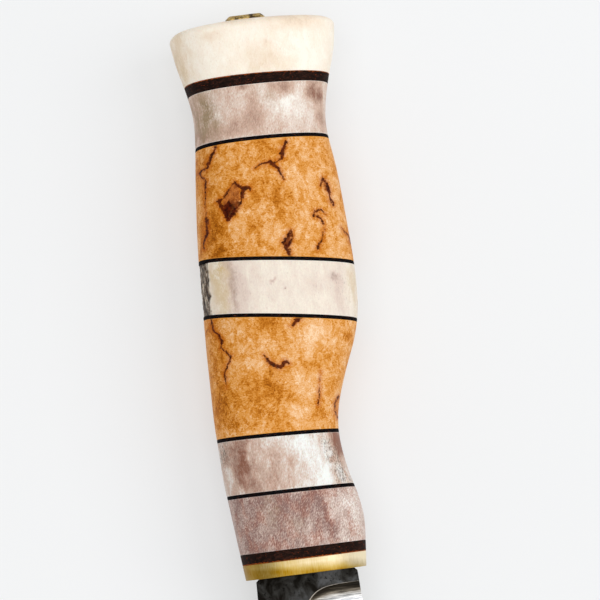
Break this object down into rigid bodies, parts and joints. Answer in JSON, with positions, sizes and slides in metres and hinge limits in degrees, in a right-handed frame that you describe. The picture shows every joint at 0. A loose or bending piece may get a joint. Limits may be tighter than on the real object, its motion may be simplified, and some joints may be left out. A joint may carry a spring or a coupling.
{
  "type": "fixed-blade belt knife",
  "caption": "Nordic belt knife with a forged bevelled blade and a stacked handle of brass, leather, antler and curly birch on a peened stick tang.",
  "frame": {"origin": "centre of the bolster's front face, on the handle's axis, where the blade comes out", "axes": "+X along the handle's axis to the blade's tip, +Y to the cutting edge, +Z out of the blade's side, which is up as the knife lies on its side"},
  "size_m": [0.2112, 0.035, 0.0244],
  "materials": {
    "forged_steel": "dark forge scale on the flats, satin ground bevel",
    "brass": "brushed",
    "brown_leather": "dark brown, sanded flush and burnished",
    "black_leather": "black dyed, sanded flush",
    "curly_birch": "oiled curly birch, satin",
    "mauve_antler": "polished reindeer antler, mottled mauve",
    "bark_antler": "polished reindeer antler with some rough outer bark left on",
    "white_antler": "polished reindeer antler, cream white",
    "resin": "cured clear adhesive"
  },
  "bodies": {
    "root": {"blade": "forged_steel", "bolster": "brass", "front_leather": "brown_leather", "front_antler": "mauve_antler", "thin_spacer_1": "black_leather", "groove_antler": "mauve_antler", "thin_spacer_2": "black_leather", "front_birch": "curly_birch", "thin_spacer_3": "black_leather", "middle_antler": "bark_antler", "thin_spacer_4": "black_leather", "rear_birch": "curly_birch", "thin_spacer_5": "black_leather", "neck_antler": "mauve_antler", "rear_leather": "brown_leather", "pommel_cap": "white_antler", "tang_washer": "brass", "tang_bedding": "resin"}
  },
  "joints": []
}
